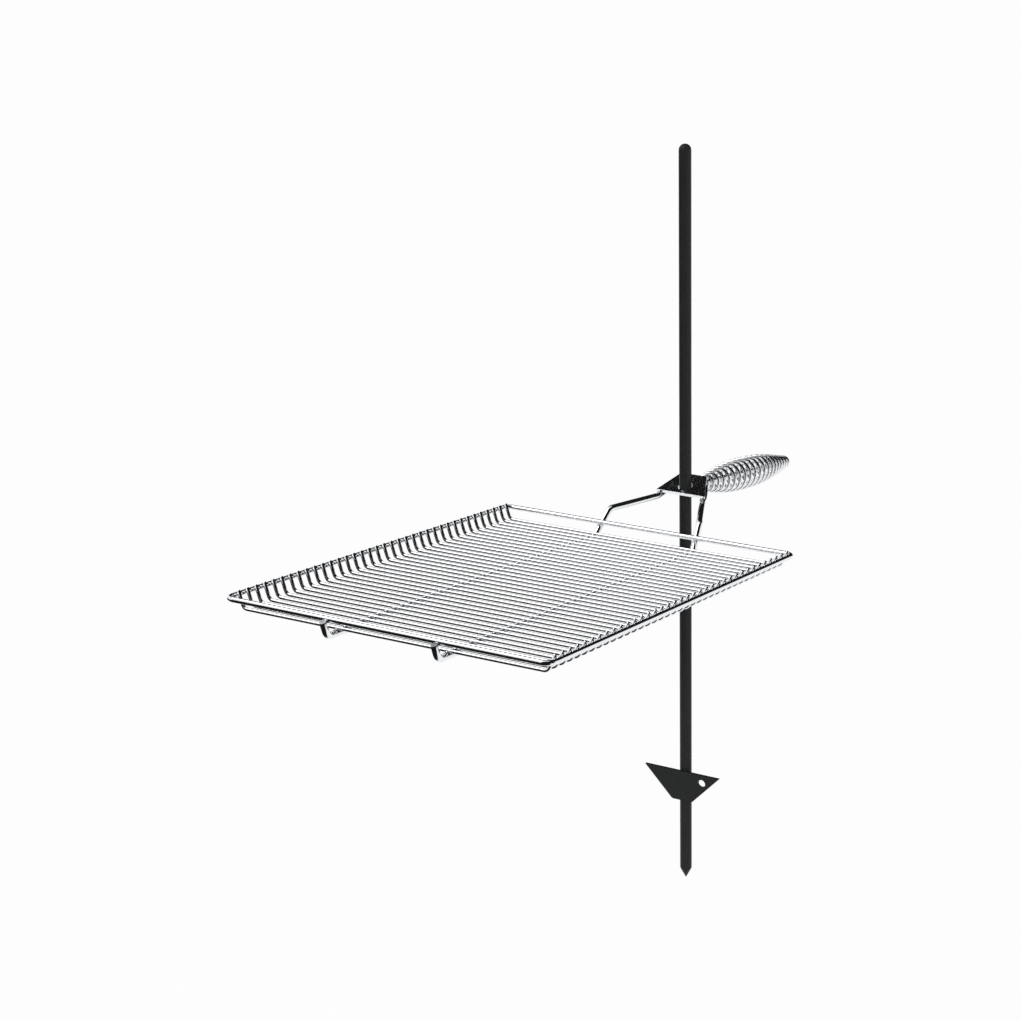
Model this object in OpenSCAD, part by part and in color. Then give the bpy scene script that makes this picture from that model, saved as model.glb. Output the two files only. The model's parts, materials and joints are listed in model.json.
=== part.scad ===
// Campfire stake grill. A wire grate stands out from a round stake on two bent rods. The rods and
// a handle with a wound grip are welded under a tilted plate, whose hole slides over the stake and
// binds on it under load. A fin on the stake keeps it from turning in the ground.
//
// Millimetres. The origin is on the stake's axis at the ground line, level with the top of the fin.
// +Z is up, the grate stands out towards -Y, and the grid wires run along X.

/* [Stake] */
// Length of the stake, from its rounded top to its point
stake_length = 762; // [600:1:914]
// Diameter of the stake's round bar
stake_diameter = 12; // [10:0.5:16]
// How far the point reaches below the ground line
spike_depth = 124; // [100:1:160]
// Length of the stake's conical point
point_length = 11.5; // [8:0.5:20]

/* [Anchor fin] */
// Width of the fin along its level top edge
fin_width = 83; // [60:1:110]
// Height of the fin
fin_height = 32.5; // [24:0.1:45]
// Width of the fin's short lower edge
fin_foot_width = 22.2; // [14:0.1:28]
// Radius of the fin's two lower corners
fin_corner_radius = 4; // [2:0.5:6]
// Thickness of the fin's sheet
fin_thickness = 3; // [2:0.5:5]
// Diameter of the hole in the fin
fin_hole_diameter = 8; // [5:0.5:10]
// Distance of the fin's hole from the stake's axis
fin_hole_offset = 22; // [18:0.5:26]
// Distance of the fin's hole below its top edge
fin_hole_drop = 9.1; // [8:0.1:12]

/* [Pinch plate] */
// Height of the plate's hole above the ground line
grip_height = 301.1; // [250:0.1:420]
// Angle in degrees between the plate and the plane of the grate
plate_angle = 26; // [18:0.5:30]
// Width of the plate at its front edge
plate_front_width = 52.6; // [48:0.1:60]
// Width of the plate at its rear edge
plate_rear_width = 27.6; // [26:0.1:34]
// Distance from the hole's centre to the front edge
plate_front_reach = 11.7; // [11:0.1:15]
// Distance from the hole's centre to the rear edge
plate_rear_reach = 20.1; // [18:0.1:24]
// Thickness of the plate
plate_thickness = 3; // [2.5:0.1:4]

/* [Grate] */
// Angle in degrees by which the grate's front stands above level
grate_rise = 8; // [0:0.1:10]
// Width of the grate between the centres of its side rims
grate_width = 304.8; // [240:0.1:381]
// Depth of the grate between the centres of its front and back rims
grate_depth = 457.2; // [380:0.1:560]
// Distance from the stake's axis to the back rim, along the grate
rim_setback = 81; // [75:0.5:100]
// Distance from the plate's hole down to the rim's centre
rim_drop = 28.1; // [26:0.1:34]
// Diameter of the rim's wire
rim_diameter = 4.8; // [4:0.1:6]
// Radius of the rim's corners at the wire's centre
rim_corner_radius = 8; // [6:0.5:14]
// Number of wires in the grid
grid_wire_count = 37; // [24:1:45]
// Diameter of a grid wire
grid_wire_diameter = 3.2; // [2.5:0.1:4]
// Distance from the front rim to the first grid wire
grid_front_margin = 13.5; // [10:0.1:18]
// Distance from the last grid wire to the back rim
grid_rear_margin = 8.3; // [7:0.1:14]
// Distance from the rim's centre down to the centres of the grid wires
tray_depth = 10.2; // [7:0.1:14]
// Distance from the side rim in to the bend of a grid wire
side_inset = 9; // [8.5:0.1:14]
// How far a grid wire runs on past the place where it meets the rim
wire_tip_length = 3; // [1:0.1:4]
// Radius of a grid wire's bends at its centre
wire_bend_radius = 5; // [4:0.5:7]

/* [Arms] */
// Diameter of the arms and of the handle's rod
rod_diameter = 6.3; // [5:0.1:7]
// Distance from the middle of the grate to each arm under the grid
arm_offset = 52.3; // [44:0.1:60]
// Slope in degrees of the arm's front end, up across the front of the front rim
arm_front_slope = 65; // [50:1:72]
// How far the arm's front end runs on past the place where it meets the rim
arm_front_lap = 1.2; // [0.4:0.1:2.4]
// Slope in degrees of the arm's riser behind the back rim
arm_rear_slope = 51; // [42:1:56]
// Distance from the middle to the shoulder at the top of the riser
shoulder_offset = 47.9; // [40:0.1:52]
// Height of the shoulder above the rim's centre
shoulder_height = 10.8; // [8:0.1:14]
// Radius of the arm's bends at its centre
arm_bend_radius = 9; // [7:0.5:12]
// How far the arm's centre lies inside the plate's side edge
arm_edge_inset = 2.1; // [1.5:0.1:3]

/* [Handle] */
// Length of the handle's rod
handle_rod_length = 236; // [236:1:300]
// Angle in degrees by which the handle drops away from the plane of the grate
handle_drop_angle = 2.4; // [0:0.1:4]
// Distance from the rod's front end to the first turn of the grip
coil_start = 21.5; // [20:0.5:22]
// Length of the wound grip
coil_length = 212; // [180:1:212]
// Largest outer diameter of the wound grip
coil_width = 33.2; // [26:0.2:38]
// Diameter of the grip's wire
coil_wire_diameter = 3; // [2.4:0.1:3.4]
// Number of turns in the grip
coil_turns = 20.5; // [14:0.5:22]

/* [Clearances] */
// Gap left at a welded seat between two pieces
weld_gap = 0.1; // [0.05:0.01:0.2]
// Least gap between the stake and what turns or slides past it
running_gap = 0.3; // [0.2:0.05:0.5]
// Gap between the grip's end turns and the handle's rod
coil_gap = 0.35; // [0.3:0.05:0.6]
// How much thicker a bar is in its bends, where the metal is upset
bend_swell = 0.02; // [0.01:0.005:0.05]

/* [Hidden] */
$fn = 48;

stake_radius = stake_diameter / 2;
rim_radius = rim_diameter / 2;
wire_radius = grid_wire_diameter / 2;
rod_radius = rod_diameter / 2;
coil_wire_radius = coil_wire_diameter / 2;
half_width = grate_width / 2;

// Cutting tools run past the faces that they cut by this much.
cut_over = plate_thickness;

// A straight bar runs this far into the slightly thicker bend that it joins, and stays inside it.
bend_lap = sqrt(bend_swell * wire_bend_radius);

// The plate lies tilted in the part's frame, so its hole needs this width to pass the stake.
plate_lean = plate_angle - grate_rise;
stake_run = stake_diameter / cos(plate_lean) + plate_thickness * tan(plate_lean);
plate_hole_diameter = stake_run + 2 * running_gap;

grid_pitch = (grate_depth - grid_front_margin - grid_rear_margin) / (grid_wire_count - 1);

// A grid wire's end slopes up from its bend and lies against the inner side of the rim.
bend_to_rim = norm([side_inset, tray_depth]);
wire_seat = rim_radius + wire_radius + weld_gap;
wire_slope = atan2(tray_depth, side_inset) + asin(wire_seat / bend_to_rim);
wire_slope_length = sqrt(pow(bend_to_rim, 2) - pow(wire_seat, 2)) + wire_tip_length;

// The arms lie under the grid wires. Their front ends pass under the front rim and rise against its
// front, and their risers pass close behind the back rim.
arm_drop = tray_depth + wire_radius + rod_radius + weld_gap;
rim_to_arm = rim_radius + rod_radius + weld_gap;
rear_bend_y = (rim_to_arm - arm_drop * cos(arm_rear_slope)) / sin(arm_rear_slope);
shoulder_y = rear_bend_y + (arm_drop + shoulder_height) / tan(arm_rear_slope);
front_seat_y = -grate_depth - rim_to_arm * sin(arm_front_slope);
front_seat_z = -rim_to_arm * cos(arm_front_slope);
front_bend_y = front_seat_y + (arm_drop + front_seat_z) / tan(arm_front_slope);

// Under the plate the arms follow its side edges. These places are in the grate's frame.
plate_front_y = rim_setback - plate_front_reach * cos(plate_angle);
plate_rear_y = rim_setback + plate_rear_reach * cos(plate_angle);
under_plate = (plate_thickness / 2 + rod_radius + weld_gap) / cos(plate_angle);
arm_end_share = 0.87;
arm_end_y = plate_front_y + arm_end_share * (plate_rear_y - plate_front_y);

// The handle's rod starts where its top meets the underside of the plate, behind the hole.
handle_start_share = 0.37;
handle_start_y = rim_setback + handle_start_share * plate_rear_reach;
handle_seat_drop = (plate_thickness / 2 + weld_gap) / cos(plate_angle) + rod_radius;
handle_start_z = plate_height_at(handle_start_y) - handle_seat_drop;

// Outer radius of the grip along its length, as shares of its length and of its swell.
coil_shape_shares = [
    [0, 0],
    [0.08, 0.28],
    [0.16, 0.53],
    [0.26, 0.81],
    [0.36, 0.96],
    [0.44, 1],
    [0.54, 0.99],
    [0.64, 0.92],
    [0.74, 0.74],
    [0.84, 0.45],
    [0.92, 0.2],
    [1, 0]
];
coil_crowding_share = 0.15;
coil_rings_a_turn = 8;
coil_sides = 6;
coil_ring_count = floor(coil_turns * coil_rings_a_turn);
coil_end_radius = rod_radius + coil_gap + coil_wire_radius;
coil_swell = coil_width / 2 - coil_wire_radius - coil_end_radius;

function wire_name(i) = str("grid_wire_", i < 10 ? "0" : "", i);

// Height of the plate's middle plane in the grate's frame, at a distance y from the back rim
function plate_height_at(y) = rim_drop + (y - rim_setback) * tan(plate_angle);

// Half the plate's width in the grate's frame, at a distance y from the back rim
function plate_half_width_at(y) =
    let (share = (y - plate_front_y) / (plate_rear_y - plate_front_y))
    (plate_front_width + share * (plate_rear_width - plate_front_width)) / 2;

function unit(v) = v / norm(v);

// The grill's frame has its origin in the plate's hole and is tilted with the grate.
module in_grill_frame() {
    translate([0, 0, grip_height])
        rotate([-grate_rise, 0, 0])
            children();
}

// The grate's frame has its origin at the middle of the back rim.
module in_grate_frame() {
    in_grill_frame()
        translate([0, -rim_setback, -rim_drop])
            children();
}

// A straight round bar between two points
module bar(from, to, radius) {
    along = to - from;
    translate(from)
        rotate([0, acos(along[2] / norm(along)), atan2(along[1], along[0])])
            cylinder(h = norm(along), r = radius);
}

// The bent stretch of a round bar at a corner, between the directions into and out of it
module elbow(corner, into, out, bend, radius) {
    turn = acos(into * out);
    side = unit(out - (into * out) * into);
    centre = corner - bend * tan(turn / 2) * into + bend * side;
    up = cross(into, side);
    multmatrix([
        [-side[0], into[0], up[0], centre[0]],
        [-side[1], into[1], up[1], centre[1]],
        [-side[2], into[2], up[2], centre[2]],
        [0, 0, 0, 1]
    ])
        rotate_extrude(angle = turn)
            translate([bend, 0])
                circle(r = radius + bend_swell);
}

// A round bar bent along a list of corner points, with both ends cut square
module bent_bar(points, bend, radius) {
    last = len(points) - 1;
    ways = [for (i = [0:last - 1]) unit(points[i + 1] - points[i])];
    turns = [for (i = [1:last - 1]) acos(ways[i - 1] * ways[i])];
    trims = [for (i = [0:last]) i == 0 || i == last ? 0 : bend * tan(turns[i - 1] / 2) - bend_lap];
    for (i = [0:last - 1])
        bar(points[i] + trims[i] * ways[i], points[i + 1] - trims[i + 1] * ways[i], radius);
    for (i = [1:last - 1])
        elbow(points[i], ways[i - 1], ways[i], bend, radius);
}

module stake() {
    top = stake_length - spike_depth;
    shaft_foot = point_length - spike_depth;
    color("#262626") {
        translate([0, 0, shaft_foot])
            cylinder(h = top - stake_radius - shaft_foot, r = stake_radius);
        translate([0, 0, -spike_depth])
            cylinder(h = point_length, r1 = 0, r2 = stake_radius);
        translate([0, 0, top - stake_radius])
            sphere(r = stake_radius);
    }
}

// The fin's outline, seen from the front. Its lower corners are round, and each round stands out
// from the straight edges by the swell of a bend, so that they cross.
module fin_outline() {
    half_top = fin_width / 2;
    half_foot = fin_foot_width / 2;
    side_angle = atan2(fin_height, half_top - half_foot);
    corner_run = fin_corner_radius * tan(side_angle / 2);
    inner = fin_corner_radius - bend_swell;
    centre = [half_foot - corner_run, fin_corner_radius - fin_height];
    right = [
        centre - [0, inner],
        centre + inner * [sin(side_angle), -cos(side_angle)],
        [half_top, 0]
    ];
    polygon(concat(right, [for (i = [2:-1:0]) [-right[i][0], right[i][1]]]));
    for (way = [-1, 1])
        translate([way * centre[0], centre[1]])
            circle(r = fin_corner_radius);
}

module anchor_fin() {
    back_y = -stake_radius - running_gap;
    color("#2e2e2e")
        translate([0, back_y, 0])
            rotate([90, 0, 0])
                difference() {
                    linear_extrude(height = fin_thickness)
                        fin_outline();
                    translate([fin_hole_offset, -fin_hole_drop, -cut_over])
                        cylinder(h = fin_thickness + 2 * cut_over, r = fin_hole_diameter / 2);
                }
}

module pinch_plate() {
    color("#c9cbce")
        in_grill_frame()
            rotate([plate_angle, 0, 0])
                translate([0, 0, -plate_thickness / 2])
                    difference() {
                        linear_extrude(height = plate_thickness)
                            polygon([
                                [-plate_front_width / 2, -plate_front_reach],
                                [plate_front_width / 2, -plate_front_reach],
                                [plate_rear_width / 2, plate_rear_reach],
                                [-plate_rear_width / 2, plate_rear_reach]
                            ]);
                        translate([0, 0, -cut_over])
                            cylinder(h = plate_thickness + 2 * cut_over, r = plate_hole_diameter / 2);
                    }
}

// One arm, for the side given as -1 or 1: down from the front rim, under the grid, up behind the
// back rim, over to the plate and along beneath the plate's side edge
module arm(side) {
    rim_way = [0, -cos(arm_front_slope), sin(arm_front_slope)];
    plate_x = plate_half_width_at(plate_front_y) - arm_edge_inset;
    end_x = plate_half_width_at(arm_end_y) - arm_edge_inset;
    in_grate_frame()
        bent_bar([
            [side * arm_offset, front_seat_y, front_seat_z] + arm_front_lap * rim_way,
            [side * arm_offset, front_bend_y, -arm_drop],
            [side * arm_offset, rear_bend_y, -arm_drop],
            [side * shoulder_offset, shoulder_y, shoulder_height],
            [side * plate_x, plate_front_y, plate_height_at(plate_front_y) - under_plate],
            [side * end_x, arm_end_y, plate_height_at(arm_end_y) - under_plate]
        ], arm_bend_radius, rod_radius);
}

module left_arm() {
    color("#c8ccd0")
        arm(-1);
}

module right_arm() {
    color("#c8ccd0")
        arm(1);
}

// The rim is one closed wire: four straight bars joined by quarter rings.
module rim_wire() {
    run_x = half_width - rim_corner_radius;
    run_y = grate_depth - 2 * rim_corner_radius;
    color("#d4d8dc")
        in_grate_frame()
            translate([0, -grate_depth / 2, 0]) {
                for (way = [-1, 1]) {
                    translate([-run_x, way * grate_depth / 2, 0])
                        rotate([0, 90, 0])
                            cylinder(h = 2 * run_x, r = rim_radius);
                    translate([way * half_width, run_y / 2, 0])
                        rotate([90, 0, 0])
                            cylinder(h = run_y, r = rim_radius);
                }
                for (corner = [0:3])
                    translate([
                        (corner == 0 || corner == 3 ? 1 : -1) * run_x,
                        (corner < 2 ? 1 : -1) * run_y / 2,
                        0
                    ])
                        rotate([0, 0, 90 * corner])
                            rotate_extrude(angle = 90)
                                translate([rim_corner_radius, 0])
                                    circle(r = rim_radius);
            }
}

// One grid wire, counted from the front: flat across the tray, with both ends bent up to the rim
module grid_wire(number) {
    bend_x = half_width - side_inset;
    end_x = bend_x + wire_slope_length * cos(wire_slope);
    end_z = wire_slope_length * sin(wire_slope) - tray_depth;
    color("#d4d8dc")
        in_grate_frame()
            translate([0, -grate_depth + grid_front_margin + (number - 1) * grid_pitch, 0])
                bent_bar([
                    [-end_x, 0, end_z],
                    [-bend_x, 0, -tray_depth],
                    [bend_x, 0, -tray_depth],
                    [end_x, 0, end_z]
                ], wire_bend_radius, wire_radius);
}

// The handle's frame has its origin at the rod's front end, and its Z axis runs along the rod.
module in_handle_frame() {
    in_grate_frame()
        translate([0, handle_start_y, handle_start_z])
            rotate([-90 - handle_drop_angle, 0, 0])
                children();
}

module handle_rod() {
    color("#c8ccd0")
        in_handle_frame()
            cylinder(h = handle_rod_length, r = rod_radius);
}

// Places along the grip's wire. The turns lie closer together at its two narrow ends.
function coil_along(share) = share - coil_crowding_share * sin(360 * share) / (2 * PI);

function coil_radius_at(share) = coil_end_radius + coil_swell * lookup(share, coil_shape_shares);

function coil_point(ring) =
    let (
        share = ring / coil_ring_count,
        angle = 360 * coil_turns * share,
        along = coil_along(share),
        radius = coil_radius_at(along)
    )
    [radius * cos(angle), radius * sin(angle), coil_start + coil_length * along];

// The direction in which the wire winds at a ring
function coil_way(ring) = unit(coil_point(ring + 0.1) - coil_point(ring - 0.1));

// Ring -1 and the last ring but one more are the ends of the two straight tips.
function coil_centre(ring) =
    ring < 0 ? coil_point(0) - coil_wire_diameter * coil_way(0.1)
    : ring > coil_ring_count
    ? coil_point(coil_ring_count) + coil_wire_diameter * coil_way(coil_ring_count - 0.1)
    : coil_point(ring);

function coil_ring(ring) =
    let (
        inside = min(max(ring, 0.1), coil_ring_count - 0.1),
        way = coil_way(inside),
        point = coil_point(inside),
        outward = unit([point[0], point[1], 0]),
        side = unit(outward - (outward * way) * way),
        across = cross(way, side),
        centre = coil_centre(ring)
    )
    [for (k = [0:coil_sides - 1])
        let (angle = 360 * k / coil_sides)
        centre + coil_wire_radius * (cos(angle) * side + sin(angle) * across)];

// Least gap between the wire and itself, over points at least half a turn apart
coil_points = [for (ring = [0:coil_ring_count]) coil_point(ring)];
coil_gaps = [
    for (a = [0:coil_ring_count])
        for (b = [a + coil_rings_a_turn / 2:1:coil_ring_count])
            norm(coil_points[a] - coil_points[b]) - coil_wire_diameter
];
echo(least_gap_of_the_grip_to_itself = min(coil_gaps));

module handle_coil() {
    rings = [for (ring = [-1:coil_ring_count + 1]) coil_ring(ring)];
    last = len(rings) - 1;
    points = [for (ring = rings) for (point = ring) point];
    walls = [
        for (r = [0:last - 1])
            for (k = [0:coil_sides - 1])
                let (
                    next = (k + 1) % coil_sides,
                    a = r * coil_sides + k,
                    b = r * coil_sides + next,
                    c = a + coil_sides,
                    d = b + coil_sides
                )
                each [[a, d, b], [a, c, d]]
    ];
    start_cap = [for (k = [1:coil_sides - 2]) [0, k, k + 1]];
    end_base = last * coil_sides;
    end_cap = [for (k = [1:coil_sides - 2]) [end_base, end_base + k + 1, end_base + k]];
    color("#c8ccd0")
        in_handle_frame()
            polyhedron(points = points, faces = concat(walls, start_cap, end_cap), convexity = 10);
}

stake();
anchor_fin();
pinch_plate();
left_arm();
right_arm();
rim_wire();
for (i = [1:grid_wire_count]) grid_wire(i);
handle_rod();
handle_coil();
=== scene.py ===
import json
from math import acos, asin, atan2, cos, hypot, pi, radians, sin, sqrt, tan

import bmesh
import bpy
from mathutils import Matrix, Vector


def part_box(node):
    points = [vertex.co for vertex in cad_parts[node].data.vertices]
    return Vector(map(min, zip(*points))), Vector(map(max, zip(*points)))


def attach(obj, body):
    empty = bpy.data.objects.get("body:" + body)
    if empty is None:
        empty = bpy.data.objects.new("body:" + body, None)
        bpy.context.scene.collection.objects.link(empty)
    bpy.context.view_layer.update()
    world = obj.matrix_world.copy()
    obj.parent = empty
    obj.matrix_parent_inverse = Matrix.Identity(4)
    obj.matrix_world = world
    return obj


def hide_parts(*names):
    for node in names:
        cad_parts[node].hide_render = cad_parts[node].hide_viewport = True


bl_info = {
    "name": "Campfire Stake Grill",
    "version": (1, 0, 0),
    "blender": (4, 5, 0),
    "location": "View3D > Sidebar > Grill",
    "description": "Dresses a campfire stake grill: painted stake, plated wire grate and handle",
    "category": "Object",
}

MM = 0.001

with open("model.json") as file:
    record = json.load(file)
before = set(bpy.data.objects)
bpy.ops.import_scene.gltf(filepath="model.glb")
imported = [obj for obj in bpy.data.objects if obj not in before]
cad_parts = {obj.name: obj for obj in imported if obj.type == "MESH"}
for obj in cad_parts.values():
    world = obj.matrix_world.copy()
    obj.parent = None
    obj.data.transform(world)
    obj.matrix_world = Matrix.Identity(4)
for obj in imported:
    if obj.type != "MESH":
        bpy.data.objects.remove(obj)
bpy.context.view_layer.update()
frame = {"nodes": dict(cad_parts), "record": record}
MOUNTS = {mount["name"]: mount for mount in frame["record"]["mounts"]}


# Sizes that a user would change. The frame gives the rest.


def length(name, description, default_mm):
    return bpy.props.FloatProperty(
        name=name, description=description, default=default_mm * MM, min=0.0, unit="LENGTH", precision=4
    )


def angle(name, description, default_degrees):
    return bpy.props.FloatProperty(
        name=name, description=description, default=radians(default_degrees), unit="ROTATION"
    )


def number(name, description, default):
    return bpy.props.FloatProperty(name=name, description=description, default=default)


def finish_colour(name, description, default):
    return bpy.props.StringProperty(name=name, description=description, default=default)


class StakeSizes(bpy.types.PropertyGroup):
    point_length: length("Point length", "Length of the stake's conical point", 11.5)
    fin_foot_width: length("Fin foot width", "Width of the fin's short lower edge", 22.2)
    fin_corner_radius: length("Fin corner radius", "Radius of the fin's lower corners", 4.0)
    edge_round: length("Edge round", "Rounding of sheared sheet edges under their finish", 0.35)


class PlateSizes(bpy.types.PropertyGroup):
    angle: angle("Plate angle", "Angle between the plate and the plane of the grate", 26.0)
    front_width: length("Front width", "Width of the plate at its front edge", 52.6)
    rear_width: length("Rear width", "Width of the plate at its rear edge", 27.6)
    front_reach: length("Front reach", "Distance from the hole's centre to the front edge", 11.7)
    rear_reach: length("Rear reach", "Distance from the hole's centre to the rear edge", 20.1)
    thickness: length("Thickness", "Thickness of the plate", 3.0)
    hole_clearance: length("Hole clearance", "Least gap between the stake and the tilted hole", 0.3)
    edge_round: length("Edge round", "Rounding of the plate's edges under the plating", 0.3)


class GrateSizes(bpy.types.PropertyGroup):
    rim_setback: length("Rim setback", "Distance from the plate's hole to the back rim", 81.0)
    rim_drop: length("Rim drop", "Distance from the plate's hole down to the rim", 28.1)
    rim_diameter: length("Rim wire", "Diameter of the rim's wire", 4.8)
    rim_corner_radius: length("Rim corner radius", "Radius of the rim's corners", 8.0)
    wire_diameter: length("Grid wire", "Diameter of a grid wire", 3.2)
    front_margin: length("Front margin", "Distance from the front rim to the first grid wire", 13.5)
    rear_margin: length("Rear margin", "Distance from the last grid wire to the back rim", 8.3)
    tray_depth: length("Tray depth", "Distance from the rim's centre down to the grid", 10.2)
    side_inset: length("Side inset", "Distance from the side rim in to a grid wire's bend", 9.0)
    tip_length: length("Tip length", "How far a grid wire runs past its seat on the rim", 3.0)
    bend_radius: length("Bend radius", "Radius of a grid wire's bends", 5.0)


class ArmSizes(bpy.types.PropertyGroup):
    rod_diameter: length("Rod", "Diameter of the arms and of the handle's rod", 6.3)
    offset: length("Offset", "Distance from the middle of the grate to an arm", 52.3)
    front_slope: angle("Front slope", "Slope of the arm's end at the front rim", 65.0)
    front_lap: length("Front lap", "How far the arm's end runs past its seat on the front rim", 1.2)
    rear_slope: angle("Rear slope", "Slope of the riser behind the back rim", 51.0)
    shoulder_offset: length("Shoulder offset", "Distance from the middle to the shoulder", 47.9)
    shoulder_height: length("Shoulder height", "Height of the shoulder above the rim", 10.8)
    bend_radius: length("Bend radius", "Radius of the arm's bends", 9.0)
    edge_inset: length("Edge inset", "How far the arm lies inside the plate's side edge", 2.1)
    end_share: number("End share", "Where the arm ends along the plate, from front to rear", 0.87)


class HandleSizes(bpy.types.PropertyGroup):
    rod_length: length("Rod length", "Length of the handle's rod", 236.0)
    drop_angle: angle("Drop angle", "Angle by which the handle drops from the grate's plane", 2.4)
    start_share: number("Start share", "Where the rod starts between the hole and the rear edge", 0.37)
    coil_start: length("Grip start", "Distance from the rod's front end to the grip", 21.5)
    coil_length: length("Grip length", "Length of the wound grip", 212.0)
    coil_width: length("Grip width", "Largest outer diameter of the wound grip", 33.2)
    coil_wire: length("Grip wire", "Diameter of the grip's wire", 3.0)
    coil_gap: length("Grip gap", "Gap between the grip's end turns and the rod", 0.35)
    coil_turns: number("Grip turns", "Number of turns in the grip", 20.5)
    coil_crowding: number("Grip crowding", "How much closer the turns lie at the grip's ends", 0.15)


class Finishes(bpy.types.PropertyGroup):
    plating: finish_colour("Plating", "Colour of the bright nickel and chrome plating", "#F3F4F6")
    plating_haze: finish_colour("Plating haze", "Colour of the plating where it is dulled", "#E4E6E9")
    # The plated weld colour is partly painted shade: dark for the spots where the grid wires cross the
    # arms
    weld: finish_colour("Plated weld", "Colour of the plating over a weld", "#4A4C50")
    paint: finish_colour("Paint", "Colour of the baked black paint", "#232425")
    paint_patch: finish_colour("Paint patch", "Colour of the paint's dull patches", "#2A2B2C")
    floor: finish_colour("Floor", "Colour of the studio floor", "#F4F4F2")


# Bodies are the groups of nodes that move together.
ANCHOR = "anchor"
STAKE = "stake"
GRILL = "grill"

WELD_GAP = 0.1 * MM  # the seat between welded pieces, as in the solids
CUT_ROUND = 0.35 * MM  # rounding of a sheared rod's end
ARC_STEPS = 10  # straight stretches in a bend
ROD_SIDES = 24
WIRE_SIDES = 16
STAKE_SIDES = 48
HOLE_SIDES = 64
COIL_STEPS = 40  # straight stretches in a turn of the grip

BEAD_RADIUS = 1.3 * MM
SPOT_RADIUS = 0.5 * MM  # of the spot welds of the grid
SPOT_SIDES = 12
SPOT_REACH = 1.6 * MM  # of a spot on an arm, along the wire from its middle
SEAT_SPOT_REACH = 1.7 * MM  # of a spot on the side rim, along the rim
BEAD_STEP = 0.45 * MM  # from one point of a bead to the next
# The ripples of a bead: height as a share of its radius, turn a step, and share of the seed
BEAD_RIPPLES = ((0.07, 1.9, 1), (0.05, 0.73, 2))


# Shapes


def bend_points(before, corner, after, radius):
    """Points round one bend of a bar, from the end of one straight to the start of the next."""
    into = (corner - before).normalized()
    out = (after - corner).normalized()
    turn = acos(max(-1.0, min(1.0, into.dot(out))))
    side = (out - into * into.dot(out)).normalized()
    centre = corner - into * radius * tan(turn / 2) + side * radius
    steps = [turn * step / ARC_STEPS for step in range(ARC_STEPS + 1)]
    return [centre - side * radius * cos(a) + into * radius * sin(a) for a in steps]


def bent_path(corners, radius, closed=False):
    """The centre line of a bar bent at its corners with one radius."""
    corners = [Vector(corner) for corner in corners]
    path = []
    for i, corner in enumerate(corners):
        if not closed and i in (0, len(corners) - 1):
            path.append(corner)
        else:
            path += bend_points(corners[i - 1], corner, corners[(i + 1) % len(corners)], radius)
    return path


def tube_object(name, strands, radius, sides, closed=False):
    """Round bars along one or more paths. A path is a list of (point, share of the radius)."""
    curve = bpy.data.curves.new(name, "CURVE")
    curve.dimensions = "3D"
    curve.bevel_depth = radius
    curve.bevel_resolution = sides // 4 - 1
    curve.use_fill_caps = not closed
    for strand in strands:
        spline = curve.splines.new("POLY")
        spline.points.add(len(strand) - 1)
        for point, (place, share) in zip(spline.points, strand):
            point.co = (*place, 1.0)
            point.radius = share
        spline.use_cyclic_u = closed
    obj = bpy.data.objects.new(name, curve)
    bpy.context.scene.collection.objects.link(obj)
    return obj


def sheared_bar(path, radius):
    """A bar's path with both cut ends slightly rounded, as tumbling and plating leave them."""
    rim_share = 1 - CUT_ROUND / radius
    first = path[0] + (path[1] - path[0]).normalized() * CUT_ROUND
    last = path[-1] + (path[-2] - path[-1]).normalized() * CUT_ROUND
    middle = [(place, 1.0) for place in [first, *path[1:-1], last]]
    return [(path[0], rim_share), *middle, (path[-1], rim_share)]


def weld_bead(start, end, seed, ends=0.35):
    """A short run of weld metal, thicker in the middle, with the ripples that each pass leaves."""
    steps = max(8, int((end - start).length / BEAD_STEP))
    bead = []
    for step in range(steps + 1):
        share = step / steps
        swell = ends + (1 - ends) * sqrt(max(0.0, sin(pi * share)))
        ripple = sum(height * sin(step * turn + part * seed) for height, turn, part in BEAD_RIPPLES)
        bead.append((start.lerp(end, share), swell * (1 + ripple)))
    return bead


def sheet_object(name, outline, hole_centre, hole_radius, thickness, edge_round):
    """A flat sheet with one round hole and softly rounded edges, lying about its middle plane."""
    curve = bpy.data.curves.new(name, "CURVE")
    curve.dimensions = "2D"
    curve.fill_mode = "BOTH"
    curve.bevel_depth = edge_round
    curve.bevel_resolution = 3
    curve.offset = -edge_round
    curve.extrude = thickness / 2 - edge_round
    turns = [2 * pi * side / HOLE_SIDES for side in range(HOLE_SIDES)]
    hole = [hole_centre + hole_radius * Vector((cos(a), -sin(a))) for a in turns]
    for loop in (outline, hole):
        spline = curve.splines.new("POLY")
        spline.points.add(len(loop) - 1)
        for point, place in zip(spline.points, loop):
            point.co = (place[0], place[1], 0.0, 1.0)
        spline.use_cyclic_u = True
        spline.use_smooth = False
    obj = bpy.data.objects.new(name, curve)
    bpy.context.scene.collection.objects.link(obj)
    return obj


def turned_object(name, profile, sides):
    """A bar turned about +Z from its profile of (radius, height), closed on the axis at both ends."""
    mesh = bpy.data.meshes.new(name)
    work = bmesh.new()
    rings = []
    for radius, height in profile:
        if radius == 0:
            rings.append([work.verts.new((0, 0, height))])
            continue
        turns = [2 * pi * side / sides for side in range(sides)]
        rings.append([work.verts.new((radius * cos(a), radius * sin(a), height)) for a in turns])
    for low, high in zip(rings, rings[1:]):
        for side in range(sides):
            after = (side + 1) % sides
            corners = [low[side % len(low)], low[after % len(low)]]
            corners += [high[after % len(high)], high[side % len(high)]]
            work.faces.new(list(dict.fromkeys(corners)))  # a corner on the axis counts once
    work.normal_update()
    for face in work.faces:
        face.smooth = True
    work.to_mesh(mesh)
    work.free()
    obj = bpy.data.objects.new(name, mesh)
    bpy.context.scene.collection.objects.link(obj)
    return obj


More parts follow.
